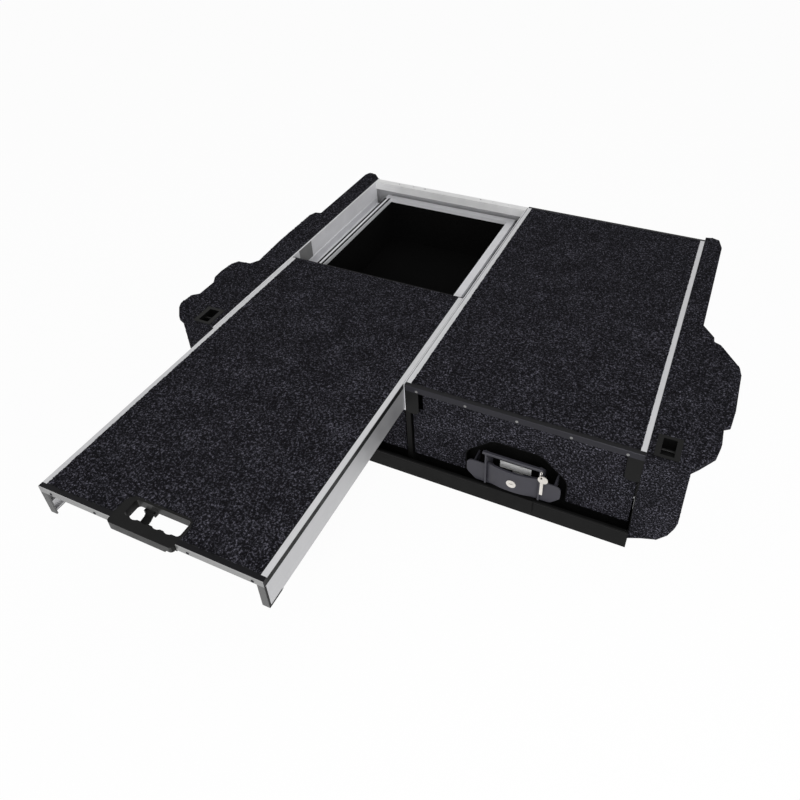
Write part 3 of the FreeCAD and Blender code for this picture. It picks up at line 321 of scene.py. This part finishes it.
FINISH = {
    "base_floor": BLACK_STEEL, "front_lip": BLACK_STEEL, "left_side_panel": PANEL,
    "right_side_panel": PANEL, "centre_divider": BLACK_STEEL, "back_panel": ALUMINIUM,
    "slide_guides": BRIGHT, "slide_supports": ZINC, "rear_beam": CROSS_LINES,
    "fixed_top_board": BLACK_EDGE, "fixed_top_strips": ALUMINIUM, "fixed_top_trims": DARK_TRIM,
    "corner_brackets": BLACK_PLASTIC, "right_wing_top": CARPET, "right_wing_front": CARPET,
    "left_wing_top": CARPET, "left_wing_front": CARPET, "tie_down_hatches": BLACK_PLASTIC,
    "wing_angles": ALUMINIUM, "drawer_channels": ALUMINIUM, "strike_plates": BLACK_STEEL,
    "slide_board": BLACK_EDGE, "slide_side_strips": ALUMINIUM, "slide_trims": SLIDE_TRIM,
    "slide_rail_left": ALUMINIUM, "slide_rail_right": ALUMINIUM, "slide_end_caps": CAP_GREY,
    "slide_glides": NYLON, "slide_handle": GRIP_BLACK_PAINTED_SHEEN, "slide_release_lever": BLACK_PLASTIC,
    "slide_roller_left": BLACK_NYLON, "slide_roller_right": BLACK_NYLON, "key_on_wire": NICKEL,
}
for side in SIDES:
    FINISH.update({
        side + "_drawer_box": LINING, side + "_drawer_caps": BRIGHT, side + "_drawer_face": CARPET,
        side + "_drawer_runners": ALUMINIUM, side + "_handle_recess": RECESS_BLACK,
        side + "_handle_shroud": GREY_PLASTIC, side + "_label_plate": LABEL,
        side + "_handle_paddle": GREY_PLASTIC, side + "_lock_barrel": NICKEL, side + "_lock_bolt": ZINC,
        side + "_drawer_roller_left": BLACK_NYLON, side + "_drawer_roller_right": BLACK_NYLON,
    })

# Edges that turn by more than this many degrees are softened
SHARP_ANGLE = 35
# Edge radius in millimetres for the nodes whose edges show
ROUNDED = {"front_lip": 0.6, "fixed_top_trims": 0.8, "slide_trims": 0.8, "corner_brackets": 1.0,
           "slide_handle": 2.2, "slide_release_lever": 1.4, "slide_end_caps": 1.0, "tie_down_hatches": 1.2,
           "slide_rail_left": 0.4, "slide_rail_right": 0.4, "slide_guides": 0.4, "rear_beam": 1.2,
           "fixed_top_strips": 0.5, "slide_side_strips": 0.5, "right_wing_top": 3.0, "left_wing_top": 3.0,
           "right_wing_front": 3.0, "left_wing_front": 3.0, "centre_divider": 0.6, "strike_plates": 0.6}
for side in SIDES:
    ROUNDED.update({side + "_handle_shroud": 1.3, side + "_handle_paddle": 1.2, side + "_label_plate": 0.4,
                    side + "_drawer_caps": 0.5, side + "_drawer_face": 2.0, side + "_lock_barrel": 0.5})


def dress_frame():
    """Give each CAD node its finish, and soften the edges that catch the light."""
    for name, material in FINISH.items():
        node = NODES[name]
        node.data.materials.clear()
        node.data.materials.append(material)
        if name in ROUNDED:
            soften = node.modifiers.new("edge_round", "BEVEL")
            soften.width = ROUNDED[name] * MM
            soften.segments = 3
            soften.limit_method = "ANGLE"
            soften.angle_limit = math.radians(SHARP_ANGLE)
            soften.use_clamp_overlap = True


# Mesh helpers

def piece_from(name, mesh, material, body):
    """Object for a finished mesh, riding on a body and taking the given finish."""
    thing = bpy.data.objects.new(name, mesh)
    bpy.context.scene.collection.objects.link(thing)
    mesh.materials.append(material)
    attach(thing, body)
    return thing


# Tufts, in millimetres: their spacing, the lowest one, the rise of the tallest, and the probe's place
TUFT_PITCH = 3.0
TUFT_FOOT = 0.12
TUFT_RISE = 1.0
PROBE_INSET = 0.8
PROBE_START = 10.0
# Share of the spacing over which a tuft sways
TUFT_SWAY = 0.7


def pile_patch(name, node_name, facing, body, seed):
    """Sheet of tufts over the faces of a node that look one way."""
    source = NODES[node_name]
    tree = BVHTree.FromObject(source, bpy.context.evaluated_depsgraph_get())
    low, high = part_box(node_name)
    normal = Vector(facing)
    depth_axis = max(range(3), key=lambda axis: abs(normal[axis]))
    across, along = [axis for axis in range(3) if axis != depth_axis]
    reach = high[depth_axis] if normal[depth_axis] > 0 else low[depth_axis]
    pitch = TUFT_PITCH * MM
    columns = int((high[across] - low[across]) / pitch) + 1
    rows = int((high[along] - low[along]) / pitch) + 1
    draw = random.Random(seed)
    sheet = bmesh.new()
    grid = {}
    for i in range(columns + 1):
        for j in range(rows + 1):
            point = Vector((0.0, 0.0, 0.0))
            point[across] = min(low[across] + i * pitch, high[across])
            point[along] = min(low[along] + j * pitch, high[along])
            point[depth_axis] = reach
            probe = point + normal * PROBE_START * MM
            for axis in (across, along):
                near, far = low[axis] + PROBE_INSET * MM, high[axis] - PROBE_INSET * MM
                probe[axis] = min(max(probe[axis], near), far)
            hit = tree.ray_cast(probe, -normal, (PROBE_START + 1.0) * MM)[0]
            tuft = draw.random()
            sway = (draw.random() - 0.5, draw.random() - 0.5)
            if hit is None:
                continue
            for axis, way in ((across, sway[0]), (along, sway[1])):
                point[axis] = min(max(point[axis] + way * pitch * TUFT_SWAY, low[axis]), high[axis])
            point += normal * (TUFT_FOOT + tuft * TUFT_RISE) * MM
            grid[i, j] = sheet.verts.new(point)
    for i in range(columns):
        for j in range(rows):
            corners = [grid.get(key) for key in ((i, j), (i + 1, j), (i + 1, j + 1), (i, j + 1))]
            if all(corners):
                sheet.faces.new(corners)
    sheet.normal_update()
    if sheet.faces and sum(face.normal.dot(normal) for face in sheet.faces) < 0:
        bmesh.ops.reverse_faces(sheet, faces=sheet.faces)
    for face in sheet.faces:
        face.smooth = True
    mesh = bpy.data.meshes.new(name)
    sheet.to_mesh(mesh)
    sheet.free()
    return piece_from(name, mesh, CARPET, body)


def lay_carpet():
    """Pile on every carpeted face."""
    up = (0, 0, 1)
    front = (0, -1, 0)
    pile_patch("fixed_top_pile", "fixed_top_board", up, "housing", seed=11)
    pile_patch("slide_top_pile", "slide_board", up, "roller_top", seed=12)
    for index, side in enumerate(SIDES):
        pile_patch(side + "_wing_pile", side + "_wing_top", up, "housing", seed=20 + index)
        pile_patch(side + "_wing_front_pile", side + "_wing_front", front, "housing", seed=30 + index)
        pile_patch(side + "_face_pile", side + "_drawer_face", front, side + "_drawer", seed=40 + index)


# Small fittings

STEPS_ROUND = 20


def revolve(sheet, outline, centre, axis):
    """Turned solid from (radius, height) points about an axis through a centre, into a bmesh."""
    turn = Vector((0, 0, 1)).rotation_difference(Vector(axis)).to_matrix()
    rings = []
    for radius, height in outline:
        ring = []
        for step in range(STEPS_ROUND):
            angle = 2 * math.pi * step / STEPS_ROUND
            local = Vector((radius * math.cos(angle), radius * math.sin(angle), height)) * MM
            ring.append(sheet.verts.new(turn @ local + Vector(centre)))
        rings.append(ring)
    for lower, upper in zip(rings, rings[1:]):
        for step in range(STEPS_ROUND):
            after = (step + 1) % STEPS_ROUND
            sheet.faces.new((lower[step], lower[after], upper[after], upper[step]))
    sheet.faces.new(rings[-1])
    sheet.faces.new(rings[0][::-1])


# Screw head in section, as (radius, height) in millimetres, with the dimple of its socket
SCREW = [(3.4, -0.2), (3.4, 0.25), (2.9, 0.75), (1.9, 1.0), (1.7, 0.95), (1.5, 0.2), (0.3, 0.2)]
# Places of the screws across the two front trims, in millimetres
FIXED_TRIM_SCREWS = (29, 148, 268, 388, 506)
SLIDE_TRIM_SCREWS = (-505, -392, -170, -29)
SCREW_RISE = 5
FORWARD = (0, -1, 0)


def screws(name, places, material, body):
    """One piece that holds a row of like screws, whose heads look forward."""
    sheet = bmesh.new()
    for place in places:
        revolve(sheet, SCREW, place, FORWARD)
    for face in sheet.faces:
        face.smooth = True
    mesh = bpy.data.meshes.new(name)
    sheet.to_mesh(mesh)
    sheet.free()
    return piece_from(name, mesh, material, body)


def fit_screws():
    """Screws along the two front trims."""
    for name, trim, row, material, body in (
            ("fixed_trim_screws", "fixed_top_trims", FIXED_TRIM_SCREWS, STOP_GREY, "housing"),
            ("slide_trim_screws", "slide_trims", SLIDE_TRIM_SCREWS, DARK_TRIM, "roller_top")):
        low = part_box(trim)[0]
        screws(name, [(x * MM, low.y, low.z + SCREW_RISE * MM) for x in row], material, body)


def blocks(name, spans, material, body, round_off=0.0):
    """One piece made of plain blocks, each given by its low and high corner in millimetres."""
    sheet = bmesh.new()
    for low, high in spans:
        made = bmesh.ops.create_cube(sheet, size=1.0)["verts"]
        for vertex in made:
            for axis in range(3):
                end = high[axis] if vertex.co[axis] > 0 else low[axis]
                vertex.co[axis] = end * MM
    if round_off:
        bmesh.ops.bevel(sheet, geom=sheet.edges[:], offset=round_off * MM, segments=2, profile=0.5,
                        affect="EDGES")
    mesh = bpy.data.meshes.new(name)
    sheet.to_mesh(mesh)
    sheet.free()
    return piece_from(name, mesh, material, body)


def corners_mm(node_name):
    """Low and high corner of a node in millimetres."""
    low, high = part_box(node_name)
    return [value / MM for value in low], [value / MM for value in high]


# Dark strips of painted shade on the left drawer's left cap only: their spans across the cap, their rise
# above it and how far short of the back they stop, in millimetres
CAP_SHADE_SPANS = ((0.3, 6.5), (13.5, 20.5))
CAP_SHADE_RISE = 0.2
CAP_SHADE_STOP = 22
STOP_PLATE = {"front": 393, "rear": 457, "foot": 226, "wall": 0.6}
BLOCK = {"out": 0.2, "reach": 6.5, "half": 6, "foot": 2, "top": 44, "round": 0.8}
BLOCK_PLACES = (546, 697, 862)
# Inner edge of the right guide's ledge, in from its outer side
LEDGE = 27


def fit_opening():
    """Dark strips of painted shade on the left drawer's cap, stop plate and guide blocks seen past the open
    top.
    """
    # Painted shade: dark strips laid along the left drawer's left cap, and on no other cap
    low, high = corners_mm("left_drawer_caps")
    top = high[2]
    shade_strips = [((low[0] + near, low[1] + 1, top), (low[0] + far, high[1] - CAP_SHADE_STOP, top + CAP_SHADE_RISE))
             for near, far in CAP_SHADE_SPANS]
    blocks("left_cap_painted_shade", shade_strips, BLACK_EDGE, "left_drawer")
    low, high = corners_mm("slide_guides")
    face = low[0] + 2
    plate = ((face, STOP_PLATE["front"], STOP_PLATE["foot"]),
             (face + STOP_PLATE["wall"], STOP_PLATE["rear"], high[2] - 1))
    blocks("guide_stop_plate", [plate], STOP_GREY, "housing")
    edge = high[0] - LEDGE
    stands = [((edge + BLOCK["out"], y - BLOCK["half"], low[2] + BLOCK["foot"]),
               (edge + BLOCK["reach"], y + BLOCK["half"], low[2] + BLOCK["top"])) for y in BLOCK_PLACES]
    blocks("guide_blocks", stands, BLACK_NYLON, "housing", BLOCK["round"])


HOLE_LINING = {"left": 27, "right": 12, "foot": 263.0, "top": 277.5, "wall": 0.4}
LINING_SCREW = (-269, 270)
EDGE_WALL = 0.4
SHOE_LENGTH = 36


def fit_slide_front():
    """Lining of the hand hole's back wall, and the black edge and shoe at the end of the right rail."""
    low, high = corners_mm("slide_handle")
    wall = high[1] - 3
    face = wall - HOLE_LINING["wall"]
    lining = ((low[0] + HOLE_LINING["left"], face, HOLE_LINING["foot"]),
              (high[0] - HOLE_LINING["right"], wall, HOLE_LINING["top"]))
    blocks("hand_hole_lining", [lining], CAP_GREY, "roller_top")
    x, z = LINING_SCREW
    screws("hand_hole_screw", [(x * MM, face * MM, z * MM)], STOP_GREY, "roller_top")
    low, high = corners_mm("slide_rail_right")
    inside, outside = high[0], high[0] + EDGE_WALL
    front = low[1] - 3
    edge = ((inside, front, low[2]), (outside, low[1] + 1.5, high[2] - 1))
    shoe = ((inside, front, low[2] - 2), (outside, low[1] + SHOE_LENGTH, low[2] + 1.5))
    blocks("right_rail_edge", [edge, shoe], BLACK_PLASTIC, "roller_top")


# Stage

# Camera matched to the photograph: its right, up and back directions, place, lens and shift
CAMERA_TURN = ((0.91433, 0.40462, -0.01669), (-0.22832, 0.54910, 0.80396), (0.33446, -0.73128, 0.59444))
CAMERA_PLACE = (0.5718, -1.0555, 1.3806)
CAMERA_LENS = 32.13
CAMERA_SHIFT = (-0.0489, -0.1163)


def aim_camera():
    """Camera at the photograph's place."""
    camera = bpy.data.objects.new("portrait_camera", bpy.data.cameras.new("portrait_camera"))
    bpy.context.scene.collection.objects.link(camera)
    camera.matrix_world = Matrix.Translation(CAMERA_PLACE) @ Matrix(CAMERA_TURN).transposed().to_4x4()
    camera.data.sensor_width = 36.0
    camera.data.lens = CAMERA_LENS
    camera.data.shift_x, camera.data.shift_y = CAMERA_SHIFT
    camera.data.clip_start = 0.01
    bpy.context.scene.camera = camera


# Soft lamps: name, place, target, width in metres and power in watts
LAMPS = (
    ("overhead", (-0.3, 0.8, 2.6), (0, 0.1, 0.1), 2.2, 5),
    ("beside_camera", (0.75, -2.0, 2.0), (0.1, 0.1, 0.1), 0.8, 38),
    ("front_right", (2.2, -1.2, 1.1), (0.1, 0.1, 0.1), 1.4, 26),
    ("front_left", (-1.9, -2.0, 1.3), (-0.1, 0.1, 0.1), 1.4, 5),
)
# Strength of the surround as light on the object; seen directly or in a reflection it is 1
SURROUND = 0.3
# Share of the floor's white when it is seen; the rest takes the shadow
FLOOR_WHITE = 0.96
FLOOR_HALF = 8.0
FLOOR_DROP = 0.0005


def soft_light(name, place, target, width, power):
    """Square area lamp turned to a target."""
    lamp = bpy.data.lights.new(name, "AREA")
    lamp.shape = "SQUARE"
    lamp.size = width
    lamp.energy = power
    thing = bpy.data.objects.new(name, lamp)
    bpy.context.scene.collection.objects.link(thing)
    thing.location = place
    thing.rotation_euler = (Vector(target) - Vector(place)).to_track_quat("-Z", "Y").to_euler()


def seen_rays(shader):
    """1 where a ray comes from the camera, a reflection or a clear piece, and 0 elsewhere."""
    path = shader.add("ShaderNodeLightPath").outputs
    seen = shader.maths("MAXIMUM", path["Is Camera Ray"], path["Is Transmission Ray"])
    return shader.maths("MAXIMUM", seen, path["Is Glossy Ray"])


def light_studio():
    """White surround and four soft lamps: one overhead, and three in front."""
    world = bpy.data.worlds.new("studio")
    bpy.context.scene.world = world
    world.use_nodes = True
    shader = Shader(world.node_tree)
    surround = world.node_tree.nodes["Background"].inputs
    level = shader.maths("ADD", shader.maths("MULTIPLY", seen_rays(shader), 1.0 - SURROUND), SURROUND)
    shader.wire(level, surround["Strength"])
    surround["Color"].default_value = (1, 1, 1, 1)
    for lamp in LAMPS:
        soft_light(*lamp)


def lay_floor():
    """Pale floor that looks white to the camera and keeps a faint shadow."""
    sheet = bmesh.new()
    bmesh.ops.create_grid(sheet, x_segments=1, y_segments=1, size=FLOOR_HALF)
    mesh = bpy.data.meshes.new("studio_floor")
    sheet.to_mesh(mesh)
    sheet.free()
    floor = bpy.data.objects.new("studio_floor", mesh)
    floor.location = (0, 0, -FLOOR_DROP)
    bpy.context.scene.collection.objects.link(floor)
    material = bpy.data.materials.new("studio_paper")
    material.use_nodes = True
    shader = Shader(material.node_tree)
    surface = material.node_tree.nodes["Principled BSDF"]
    surface.inputs["Base Color"].default_value = colour_of(0.86)
    surface.inputs["Roughness"].default_value = 0.9
    glow = shader.add("ShaderNodeEmission")
    glow.inputs["Strength"].default_value = 1.0
    blend = shader.add("ShaderNodeMixShader")
    shader.wire(shader.maths("MULTIPLY", seen_rays(shader), FLOOR_WHITE), blend.inputs["Fac"])
    shader.wire(surface.outputs["BSDF"], blend.inputs[1])
    shader.wire(glow.outputs["Emission"], blend.inputs[2])
    shader.wire(blend.outputs["Shader"], material.node_tree.nodes["Material Output"].inputs["Surface"])
    mesh.materials.append(material)


lay_carpet()
dress_frame()
fit_screws()
fit_opening()
fit_slide_front()
aim_camera()
light_studio()
lay_floor()
bpy.context.scene.view_settings.view_transform = "Standard"
